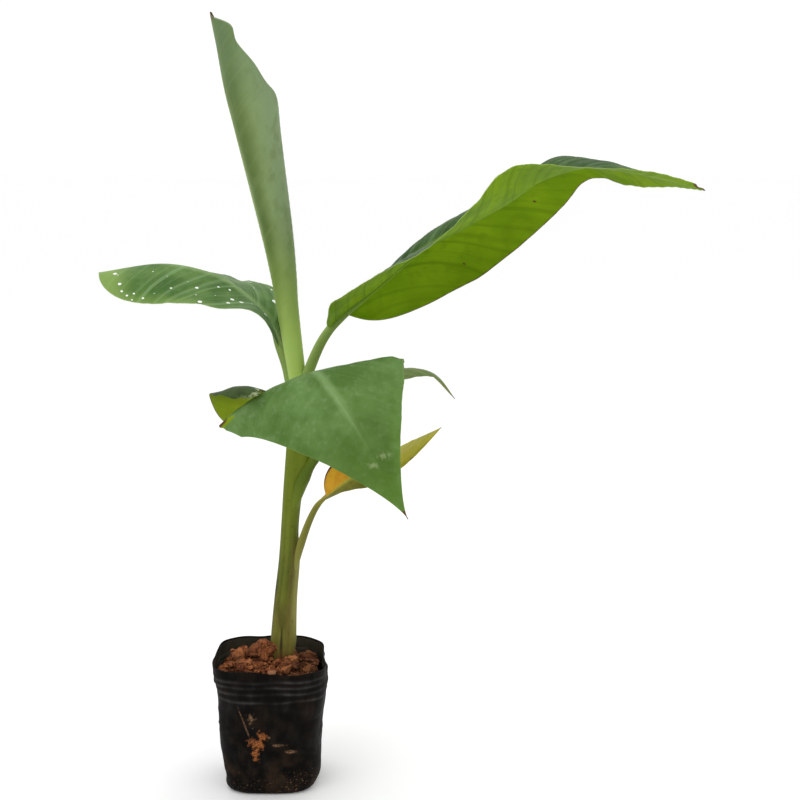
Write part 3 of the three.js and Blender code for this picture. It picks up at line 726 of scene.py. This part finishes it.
# Deep green front stalk, darkened further as painted shade cast by the front leaf.
SHADED_DEEP_STALK = [(86, 104, 18), (96, 116, 26), (64, 84, 12), (64, 58, 22), (98, 112, 28)]
OLD_STALK = [(112, 112, 40), (142, 136, 66), (84, 84, 32), (100, 72, 38), (124, 122, 60)]
# Colours in the order that the finishes name them, then a leaf's bloom, streaks and gloss
STALK_COLOURS = {
    "left": [*GREEN_STALK, (142, 168, 110), (112, 142, 58)],
    "right": [*GREEN_STALK, (112, 144, 70), (96, 128, 10)],
    "front": [*SHADED_DEEP_STALK, (128, 158, 100), (106, 130, 24)],
    "back": [*GREEN_STALK, (104, 122, 54), (96, 116, 44)],
    "old": [*OLD_STALK, (190, 176, 84), (168, 160, 56)],
}
# The right and front leaves' underside greens are brighter than their own yellow-green: painted light
# shining through the blade.
LEAF_COLOURS = {
    "left": [
        (86, 120, 54), (58, 94, 32), (124, 154, 104), (112, 144, 50), (92, 126, 36), (132, 160, 66),
        (142, 168, 110), (146, 170, 104), (134, 162, 84), 0.05, 1.6,
    ],
    "right": [
        (62, 90, 44), (44, 70, 30), (104, 132, 88), (98, 132, 6), (70, 102, 3), (116, 148, 14),
        (118, 146, 64), (168, 190, 104), (122, 152, 22), 0.08, 1.3, 0.03,
    ],
    "front": [
        (94, 126, 66), (70, 102, 40), (114, 146, 92), (128, 148, 8), (98, 118, 4), (148, 166, 22),
        (130, 160, 104), (126, 150, 84), (78, 112, 24), 0.14, 0.45,
    ],
    "back": [
        (96, 118, 40), (80, 100, 30), (116, 136, 66), (98, 118, 44), (80, 98, 34), (116, 134, 60),
        (104, 122, 54), (104, 118, 50), (130, 126, 54),
    ],
    "old": [
        (182, 174, 52), (158, 154, 36), (200, 190, 72), (188, 182, 58), (160, 156, 40), (206, 198, 82),
        (190, 180, 74), (160, 148, 66), (210, 196, 72),
    ],
}
FLECKS = [
    ("left", [
        [0.915, 0.3, 2.2], [0.887, 0.63, 1.7], [0.877, 0.8, 1.3], [0.852, 0.87, 1.2],
        [0.817, 0.81, 1.2], [0.767, 0.89, 1.2], [0.827, 0.94, 0.9], [0.614, 0.63, 1.1], [0.737, 0.25, 0.7],
        [0.494, 0.51, 1.6], [0.404, 0.31, 1.4], [0.356, 0.22, 1.2], [0.313, 0.5, 1.8], [0.311, 0.71, 2.3],
        [0.273, 0.52, 2.6], [0.411, 0.94, 2.0], [0.168, 0.19, 2.0], [0.55, 0.4, 0.5], [0.47, 0.72, 0.6],
        [0.66, 0.35, 0.5], [0.38, 0.6, 0.6], [0.24, 0.3, 0.6], [0.9, 0.35, 0.6], [0.7, 0.78, 0.5],
    ]),
    ("right", [[0.346, 0.82, 2.4], [0.241, 0.87, 1.6], [0.19, 0.54, 2.8], [0.3, 0.5, 0.6]]),
]  # half, then [share of the rib, share across, radius]


def make_leaf(side, nodes, parts, rib_halves, flecks=()):
    """One leaf: its blade from the listed half parts, and its stalk with the midrib."""
    leaf = LEAVES[side]
    blade = Piece(f"{side}_leaf")
    for h, sign, low, high, rows, marks in parts:
        add_half(blade, leaf, leaf[h], sign, low, high, rows, marks)
    add_flecks(blade, leaf, flecks)
    stalk = Piece(f"{side}_stalk")
    add_stalk(stalk, leaf, [leaf[h] for h in rib_halves])
    stalk_skin = stalk_finish(f"{side}_stalk_skin", *STALK_COLOURS[side])
    stalk.make(stalk_skin, [f"stalk_{side}"], sharp=60)
    leaf_skin = leaf_finish(f"{side}_leaf_skin", *LEAF_COLOURS[side])
    blade.make(leaf_skin, nodes)


def plain_leaf(side, left_marks, right_marks, flecks=()):
    """A leaf whose two halves run whole from base to tip."""
    rows, end = LEAVES[side]["rows"], LEAVES[side].get("end", 1.0)
    parts = [("left", -1, 0.0, end, rows, left_marks), ("right", 1, 0.0, end, rows, right_marks)]
    make_leaf(side, [f"blade_{side}"], parts, ("left", "right"), flecks)


def left_near(u, s):
    """The half towards the viewer: yellower at its tip and lower edge."""
    low_edge = 0.45 * smooth(s, 0.75, 1) * smooth(u, 0.2, 0.5) * smooth(u, 0.95, 0.8)
    return {"dry": 0.5 * smooth(u, 0.985, 1.0), "ripe": 0.8 * smooth(u, 0.8, 0.95) + low_edge}


def left_far(u, s):
    return {"dry": 0.5 * smooth(u, 0.985, 1.0), "ripe": 0.7 * smooth(u, 0.85, 1)}


def right_far(u, s):
    """The hanging half: a thin dark edge and two dark specks."""
    specks = sum(spot(u, s, at_u, at_s, 0.004, 0.016) for at_u, at_s in RIGHT_SPECKS)
    edge = 0.6 * smooth(s, 0.98, 1.0) * smooth(u, 0.8, 0.7)
    return {"dry": np.maximum.reduce([0.6 * smooth(u, 0.972, 0.985), specks, edge]),
            "ripe": 0.5 * smooth(u, 0.75, 1) + 0.35 * smooth(s, 0.45, 0.95) * smooth(u, 1, 0.75)}


def right_near(u, s):
    """The near half: its margin stands in short waves."""
    waves = 1.5 * np.sin(44 * u + 4 * np.sin(9 * u)) * s**4 * smooth(u, 0.03, 0.1) * smooth(u, 0.62, 0.5)
    return {"dry": 0.6 * smooth(u, 0.972, 0.985), "ripe": 0.5 * smooth(u, 0.75, 1), "lift": waves}


def back_marks(u, s):
    return {"dry": smooth(u, 0.93, 1.0), "ripe": 0.4 * smooth(u, 0.7, 1)}


def old_flap(u, s):
    """The half near the stalk is a dead orange flap with a dark brown edge."""
    near = smooth(u, 0.46, 0.3)
    return {"warm": near, "dry": near * smooth(s, 0.82, 0.97) * 0.7, "ripe": 0.5 * smooth(u, 0.4, 0.6)}


def old_blade(u, s):
    return {"dry": np.maximum(smooth(u, 0.99, 1.0), spot(u, s, 0.785, 0.96, 0.012, 0.06)),
            "ripe": 0.6 * smooth(u, 0.35, 0.6) * smooth(s, 0.9, 0.5),
            "shade": 0.6 * smooth(u, 0.6, 0.45) * smooth(s, 0.15, 0.6)}


def torn_leaf():
    """The front leaf: one half is torn across at the bend. Its rear lobe stands up in an arch and rolls
    over the crest, and the torn edges and corners are browned."""
    s = ACROSS
    ragged = 0.006 * np.sin(s * 23) * s + 0.004 * np.sin(s * 51 + 1) * s
    fall_start = FRONT_SPLIT + 0.006 * s - 0.6 * ragged

    def torn(s):
        """Share of the rib at which the rear lobe ends."""
        return FRONT_SPLIT + 0.1 * smooth(s, 0.38, 0.72) - 0.04 * smooth(s, 0.75, 0.98)

    def lobe_marks(u, s):
        arch = 3.5 * bell(s - 0.74, 0.16) - 6 * bell(s - 0.42, 0.14)
        corner = smooth(s, 0.93, 1.0) * smooth(u, 0.38, 0.3)
        # sheen: a painted highlight along the torn edge, laid on with the pale scuff marks
        sheen = smooth(u - torn(s), -0.024, -0.008) * bell(s - 0.62, 0.13)
        return {"dry": np.maximum(corner, 0.6 * smooth(s, 0.985, 1.0)), "lift": arch * smooth(u, 0.33, 0.46),
                "ripe": 0.25 * smooth(s, 0.6, 1), "shade": 0.9 * smooth(u, 0.4, 0.48), "scuff": 0.8 * sheen}

    def fall_marks(u, s):
        corner = smooth(s, 0.84, 0.95) * smooth(u, 0.54, 0.48)
        return {"dry": np.maximum(smooth(u, 0.96, 0.99), 0.8 * corner), "ripe": 0.6 * smooth(u, 0.6, 0.9),
                "scuff": 0.45 * spot(u, s, 0.83, 0.1, 0.01, 0.14),
                "shade": 0.2 * smooth(u, 0.6, 0.8) * smooth(u, 0.95, 0.85)}

    def whole_marks(u, s):
        droop = -6 * smooth(s, 0.86, 1.0) * bell(u - 0.46, 0.05)
        return {"dry": np.maximum(smooth(u, 0.96, 0.99), 0.5 * smooth(s, 0.988, 1.0)), "lift": droop,
                "scuff": 0.45 * spot(u, s, 0.815, 0.35, 0.01, 0.25), "ripe": 0.5 * smooth(u, 0.5, 0.8),
                "shade": 0.3 * smooth(u, 0.6, 0.75) * smooth(u, 0.92, 0.82) * smooth(s, 0.9, 0.5)}

    parts = [
        ("left", -1, 0.0, 1.0, 260, whole_marks),
        ("right_back", 1, 0.0, torn(s) + ragged, 150, lobe_marks),
        ("right_fall", 1, fall_start, 1.0, 170, fall_marks),
    ]
    nodes = ["blade_front_back", "blade_front_fall"]
    make_leaf("front", nodes, parts, ("left", "right_back"))


# Stem, rolled leaf, bag and soil


def make_stem():
    """Level rings round the leaning stem line. Each sheath adds a step at its free edge that dies away
    round the stem, so the sheaths read as wrapped one over another."""
    up = np.linspace(STEM_LINE[0][0], STEM_LINE[-1][0], 230)[:, None]
    x, y, radius = (values[:, None] for values in table(STEM_LINE, up.ravel()))
    turn = circle(240)
    rise, near = 0, 30.0
    for start, lean, step in SHEATHS:
        past = (turn - start - lean * (up - SOIL_SEAT)) % TAU
        rise = rise + step * (1 - past / TAU) * smooth(past, 0, 0.09)
        near = np.minimum(near, np.minimum(past, (TAU - past) * 3) * radius)
    reach = radius - 0.6 + rise * smooth(up, 124, 146) * smooth(up, 385, 360)
    reach += 0.12 * np.sin(turn * 3 + up / 40) + 0.05 * np.sin(turn * 8 - up / 23)

    def facing(middle, spread):
        """1 in one direction, dying away to both sides of it."""
        return bell(apart(turn, middle), spread)

    reach += 2.3 * facing(-0.15, 0.5) * smooth(up, 122, 150) * smooth(up, 262, 225)
    reach -= 0.9 * facing(math.pi, 0.7)
    reach += 7 * facing(-0.35, 0.5) * smooth(up, 285, 322) * smooth(up, 366, 345)
    rings = polar(reach, turn, 0) + np.stack([x, y, up], -1)
    strip = facing(-0.35, 0.42) * smooth(up, 136, 180) * smooth(up, 262, 236)
    brown = facing(-1.0, 0.25) * smooth(up, 275, 235) + facing(2.4, 0.6) * smooth(up, 230, 170)
    notch = smooth(facing(-math.pi / 2, 0.16), 0.2 + smooth(up, 140, 166) * 0.79, 1) * smooth(up, 168, 160)
    dark = np.maximum(notch, facing(-2.8, 0.3) * bell(up - 203, 10))
    piece = Piece("sheathed_stem")
    piece.rings(rings, turn=turn, edge=near, height=up, strip=strip, brown=brown, dark=dark)
    piece.make(stem_finish(), ["pseudostem"], sharp=70)


def make_roll():
    """The new leaf as one coiled sheet: level circles that touch a straight left edge, where the midrib
    stands. One half wraps round the front on the outside, the other goes round the back and inside it."""
    turn = np.radians(np.concatenate([np.linspace(-580, -60, 170), np.linspace(-58, 333, 230)]))
    degrees = np.degrees(np.abs(turn))
    lip = np.where(turn < 0, table(ROLL_INNER, degrees)[0], table(ROLL_OUTER, degrees)[0])
    inner = np.clip(-turn, 0, None)
    tuck = 1.2 * smooth(inner, 0, 0.5) + 2.3 * inner / TAU
    share = np.concatenate([np.linspace(0, 0.99, 150), [0.996, 1.0]])[:, None]
    z = ROLL_FOOT + (lip - ROLL_FOOT) * share
    edge, radius = table(ROLL_LINE, z.ravel())
    edge, radius = edge.reshape(z.shape), radius.reshape(z.shape)
    vein = z - 0.9 * radius * np.abs(turn)
    ridge = 1.1 * bell(turn * radius, 2.2) * smooth(z, 740, 560)
    ripple = 0.1 * np.sin(vein * TAU / 6) + 0.5 * np.sin(2 * turn + z / 60) * smooth(z, 480, 600)
    flare = 1.2 * smooth(share, 0.9, 1.0) * np.sin(1.7 * turn + 1) * (turn > 0)

    def skin(offset):
        reach = radius - tuck * radius / 20 - tuck * 0.3 + ridge * (offset > 0) + ripple + flare + offset
        return np.stack([edge + radius - reach * np.cos(turn), -reach * np.sin(turn), z], -1)

    margin = np.minimum((lip - ROLL_FOOT) * (1 - share), 40)
    dry = smooth(z, 748, 760) * (np.abs(turn) < 0.6)
    upper, lower = skin(ROLL_SHEET / 2), skin(-ROLL_SHEET / 2)
    piece = Piece("furled_leaf")
    piece.sheet(upper, lower, vein=vein, round=turn[None], height=z, margin=margin, dry=dry)
    piece.make(roll_finish(), ["rolled_leaf"])


def plan(turn):
    """Rounded square: (|cos|^p + |sin|^p)^(-1/p) at a direction, for a half width of one."""
    return (np.abs(np.cos(turn)) ** BAG_CORNER + np.abs(np.sin(turn)) ** BAG_CORNER) ** (-1 / BAG_CORNER)


def rim_dent(turn, z):
    """How far the slack film is pushed in: at the rim on the right, and over the whole wall on the left."""
    right = 6.5 * bell(apart(turn, 0.1), 0.5) * smooth(z, 106, 117)
    left = bell(apart(turn, math.pi), 0.75) * (4.2 - 2 * smooth(z, 104, 118))
    return right + left


def film_folds(turn, z):
    """How far the film stands off its even shape, and how much painted grey highlight its creases take: ribs
    under the rim, slack waves, and short sharp creases in directions of their own."""
    folds = 0.8 * np.sin(3 * turn + z / 19 + 0.7) + 0.6 * np.sin(5 * turn - z / 13)
    folds += 0.4 * np.sin(9 * turn + z / 8 + 2)
    folds *= 0.45 + 0.55 * np.sin(z / 128 * math.pi)
    crease = np.zeros_like(folds)
    for height, rise in FILM_RIBS:
        line = height + 1.3 * np.sin(turn + 2.6) + 0.8 * np.sin(2 * turn + 0.4)
        line += 0.7 * np.sin(4 * turn + height) + 0.3 * np.sin(9 * turn + 2 * height)
        uneven = 0.5 + 0.3 * np.sin(5 * turn + height) + 0.2 * np.sin(11 * turn + 3 * height)
        bead = np.exp(-np.abs((z - line) / 1.2) ** 1.5) * uneven
        folds += rise * bead
        crease += bead
    dice = np.random.default_rng(7)
    for _ in range(CREASES):
        at, level, aim = dice.uniform(0, TAU), dice.uniform(8, 112), dice.normal(0.2, 0.75)
        length, wide = dice.uniform(7, 26), dice.uniform(1.4, 3.6)
        rise = dice.uniform(0.4, 1.1) * dice.choice([-1, 1])
        x, y = apart(turn, at) * FILM_R, z - level
        along, across = x * math.cos(aim) + y * math.sin(aim), y * math.cos(aim) - x * math.sin(aim)
        sharp = np.exp(-np.abs((across + along**2 * 0.006) / wide) ** 1.5 - (along / length) ** 2)
        folds += rise * sharp
        crease += 0.1 * sharp * (rise > 0)
    bulge = bell(apart(turn, -0.3), 0.5) * (2 - 3.4 * smooth(z, 8, 50) + 3.6 * smooth(z, 60, 100))
    return folds + bulge - rim_dent(turn, z), np.clip(crease, 0, 1)


def make_bag():
    """One closed skin: under the bag, up its wall, over the rim and down inside, in a rounded square."""
    turn = circle(400)
    rim = RIM_HEIGHT + RIM_TILT * np.sin(turn - TILT_TURN) + np.sin(2 * turn - SAG_TURN)
    rim += 0.5 * np.sin(6 * turn) + 0.3 * np.sin(13 * turn) + bell(turn - RIM_PEAK, 0.4)
    up = np.concatenate([np.linspace(0, 0.1, 14), np.linspace(0.11, 1, 140)])[:, None]
    down = np.concatenate([np.linspace(1, 0.75, 34), np.linspace(0.7, 0.03, 14)])[:, None]
    share = np.concatenate([up, down])
    inset = np.concatenate([np.zeros_like(up), np.full_like(down, FILM)])
    z = share * rim
    folds, crease = film_folds(turn, z)
    reach = table(BAG_PROFILE, z.ravel())[0].reshape(z.shape) * plan(turn) + folds * smooth(z, 0, 14) - inset
    floor = np.linspace(0.15, 0.98, FLOOR_RINGS)[:, None] * reach[:1]
    none = np.zeros_like(floor)
    reach = np.concatenate([floor, reach, floor[::-1] * reach[-1:] / reach[:1]])
    z = np.concatenate([none, z, none + z[-1].min()])
    rings = polar(reach, turn, z)
    inner = np.arange(len(z))[:, None] >= FLOOR_RINGS + len(up) + 2
    piece = Piece("film_bag")
    piece.rings(rings, crease=np.concatenate([none, crease, none]), inner=inner * 1.0)
    piece.make(bag_finish(), ["grow_bag"], sharp=70)


def soil_height(x, y):
    """A mound that falls from the seat of the stem to the bag's wall, with a round rise for each clod, and
    lower at the back and in a hollow to the right of the stem."""
    _, seat_x, seat_y, _ = STEM_LINE[1]
    seat = np.hypot(x - seat_x, y - seat_y)
    rise = np.zeros_like(x)
    for cx, cy, r, high in CLODS:
        rise = np.maximum(rise, high * np.clip(1 - np.hypot(x - cx, y - cy) ** 2 / r**2, 0, None))
    ground = SOIL_SEAT + (SOIL_EDGE - SOIL_SEAT) * np.clip((seat - STEM_SEAT_R) / MOUND_RUN, 0, 1)
    hollow = smooth(y, 8, 34) * (5 + 4 * smooth(x, -45, -12)) + 9 * bell(np.hypot(x - 32, y - 8), 14)
    return ground + rise * np.clip((seat - STEM_SEAT_R) / SEAT_SLOPE, 0, 1) - hollow


def lumps(places, sizes, rows, around, planes, rough):
    """Angular lumps: a ball cut back by flat planes, each at its own distance d along its own direction n,
    so that the reach along v is the least d / (v.n), then pushed in and out by three waves. Also gives how
    far down each ring is."""
    count = len(places)
    tilt = np.linspace(-math.pi / 2, math.pi / 2, rows + 2)[1:-1, None]
    turn = circle(around)
    ball = polar(np.cos(tilt), turn, np.sin(tilt))
    faces = unit(RNG.normal(0, 1, (count, planes, 3)))
    depth = RNG.uniform(0.62, 1.0, (count, planes))
    facing = np.einsum("rak,cpk->cpra", ball, faces)
    reach = np.min(np.where(facing > 0.2, depth[..., None, None] / np.maximum(facing, 0.2), 1.2), 1)
    waves = RNG.normal(0, 1, (count, 3, 3)) * np.array([3.6, 5.6, 8.5])[None, :, None]
    swing = np.einsum("rak,cwk->cwra", ball, waves) + RNG.uniform(0, TAU, (count, 3))[..., None, None]
    reach = np.minimum(reach, 1.2) + rough * np.einsum("cwra,w->cra", np.sin(swing), [0.16, 0.12, 0.09])
    squash = RNG.uniform(0.8, 1.15, (count, 1, 1, 3)) * np.array([1, 1, 0.85])
    shapes = places[:, None, None] + ball * reach[..., None] * squash * sizes[:, None, None, None]
    return shapes, smooth(np.sin(tilt), 0.5, -0.6)


def make_soil():
    """The fill up to its uneven top, then clods from large to crumbs, each sunk a little way in."""
    turn = circle(150)
    _, seat_x, seat_y, _ = STEM_LINE[1]
    wall = np.concatenate([np.linspace(SOIL_FOOT, SOIL_EDGE - 3, 12), [SOIL_EDGE - 1]])[:, None]
    reach = (table(BAG_PROFILE, wall.ravel())[0][:, None] - SOIL_GAP) * plan(turn)
    reach -= np.clip(rim_dent(turn, wall + 4), 0, DENT_MOST)
    side = polar(reach, turn, wall)
    share = np.linspace(0.97, 0.02, 46)[:, None, None]
    top = side[-1:, :, :2] * share + np.array([seat_x, seat_y]) * (1 - share)
    x, y = top[..., 0], top[..., 1]
    rough = 1.1 * np.sin(x / 3.1 + y / 5) * np.sin(y / 2.7 - x / 7) + 0.7 * np.sin(x / 1.6) * np.sin(y / 1.9)
    z = soil_height(x, y) - 2.5 + rough
    piece = Piece("clod_soil")
    # painted shade: the fill darkens where it sinks towards the wall
    wet = smooth(np.concatenate([wall + 0 * turn, z]), 140, 112) * 0.95
    piece.rings(np.concatenate([side, np.stack([x, y, z], -1)]), tint=0.1, wet=wet)

    def heap(places, size, layout, tint, damp_and_right_shade):
        """Lumps with painted shade on their lower sides, darker below than on top."""
        shapes, below = lumps(places, size, *layout)
        piece.lumps(shapes, tint=tint, wet=np.clip(damp_and_right_shade[:, None, None] + 0.85 * below, 0, 0.95))

    big = np.array(CLODS, float)
    places = np.stack([big[:, 0], big[:, 1], soil_height(big[:, 0], big[:, 1]) - 0.6 * big[:, 2]], -1)
    tint = RNG.uniform(0.1, 0.45, len(big))
    # the big clods take painted shade towards the right
    heap(places, big[:, 2] * 0.86, BIG_CLOD, tint, 0.12 * smooth(big[:, 0], 5, 40))
    for count, low, high, layout in LOOSE_CLODS:
        angle, size = RNG.uniform(0, TAU, count), RNG.uniform(low, high, count)
        out = np.sqrt(RNG.uniform(0.1, 1, count)) * (LOOSE_REACH - size * 1.2) * plan(angle)
        out -= np.clip(rim_dent(angle, 120), 0, DENT_MOST)
        x, y = out * np.cos(angle), out * np.sin(angle)
        clear = np.hypot(x - seat_x, y - seat_y)
        push = np.where(clear < STEM_CLEAR + size, (STEM_CLEAR + size) / np.maximum(clear, 1), 1)
        x, y = seat_x + (x - seat_x) * push, seat_y + (y - seat_y) * push
        places = np.stack([x, y, soil_height(x, y) - 1.2 + size * 0.1], -1)
        # random damp patches, with painted shade towards the right
        damp_and_right_shade = np.clip(RNG.uniform(0, 0.5, count) ** 2 + 0.12 * smooth(x, 8, 40), 0, 0.7)
        heap(places, size, layout, RNG.uniform(0, 0.7, count), damp_and_right_shade)
    bits = np.array(PALE_BITS, float)
    places = np.stack([bits[:, 0], bits[:, 1], soil_height(bits[:, 0], bits[:, 1]) + 1.5], -1)
    shapes = lumps(places, bits[:, 2], *PALE_LUMP)[0]
    shapes[..., 2] = 0.6 * shapes[..., 2] + 0.4 * places[:, None, None, 2]
    piece.lumps(shapes, pale=bits[:, 3])
    piece.make(soil_finish(), ["soil"], sharp=32)


make_bag()
make_soil()
make_stem()
make_roll()
plain_leaf("left", left_near, left_far, flecks=FLECKS)
plain_leaf("right", right_far, right_near)
torn_leaf()
plain_leaf("back", back_marks, back_marks)
plain_leaf("old", old_flap, old_blade)

# Floor, light and camera


def make_floor():
    """A broad pale floor just under the bag."""
    reach, low = 30.0, -0.0004
    mesh = bpy.data.meshes.new("pale_floor")
    corners = [(-reach, -reach, low), (reach, -reach, low), (reach, reach, low), (-reach, reach, low)]
    mesh.from_pydata(corners, [], [(0, 1, 2, 3)])
    mesh.materials.append(Finish("pale_floor", Base_Color=(0.945, 0.945, 0.945, 1), Roughness=0.9).material)
    floor = bpy.data.objects.new("pale_floor", mesh)
    bpy.context.scene.collection.objects.link(floor)


def stand(name, data, place, aim):
    """Sets a light or camera at place, turned to aim."""
    thing = bpy.data.objects.new(name, data)
    thing.location = place
    thing.rotation_euler = (Vector(aim) - Vector(place)).to_track_quat("-Z", "Y").to_euler()
    bpy.context.scene.collection.objects.link(thing)
    return thing


def soft_light(name, place, size, power):
    """A square soft box turned to the plant."""
    lamp = bpy.data.lights.new(name, "AREA")
    lamp.size, lamp.energy = size, power
    stand(name, lamp, place, (0.1, 0, 0.4))


def make_camera(place, aim, lens):
    """The photograph's viewpoint."""
    camera = bpy.data.cameras.new("camera")
    camera.lens, camera.sensor_width, camera.clip_end = lens, 36, 100
    bpy.context.scene.camera = stand("camera", camera, place, aim)


make_floor()
soft_light("key_softbox", (-0.9, -1.5, 1.9), 1.6, 9)
soft_light("fill_softbox", (1.5, -1.0, 0.9), 1.4, 2)
soft_light("top_softbox", (0.2, 0.7, 2.0), 1.6, 6)
make_camera((0.131, -1.45, 0.64), (0.131, 0, 0.391), 67.5)
world = bpy.data.worlds.new("pale_world")
world.use_nodes = True
background = world.node_tree.nodes["Background"]
background.inputs["Color"].default_value = (1, 1, 1, 1)
background.inputs["Strength"].default_value = 1.05
bpy.context.scene.world = world
bpy.context.scene.view_settings.view_transform = "Standard"
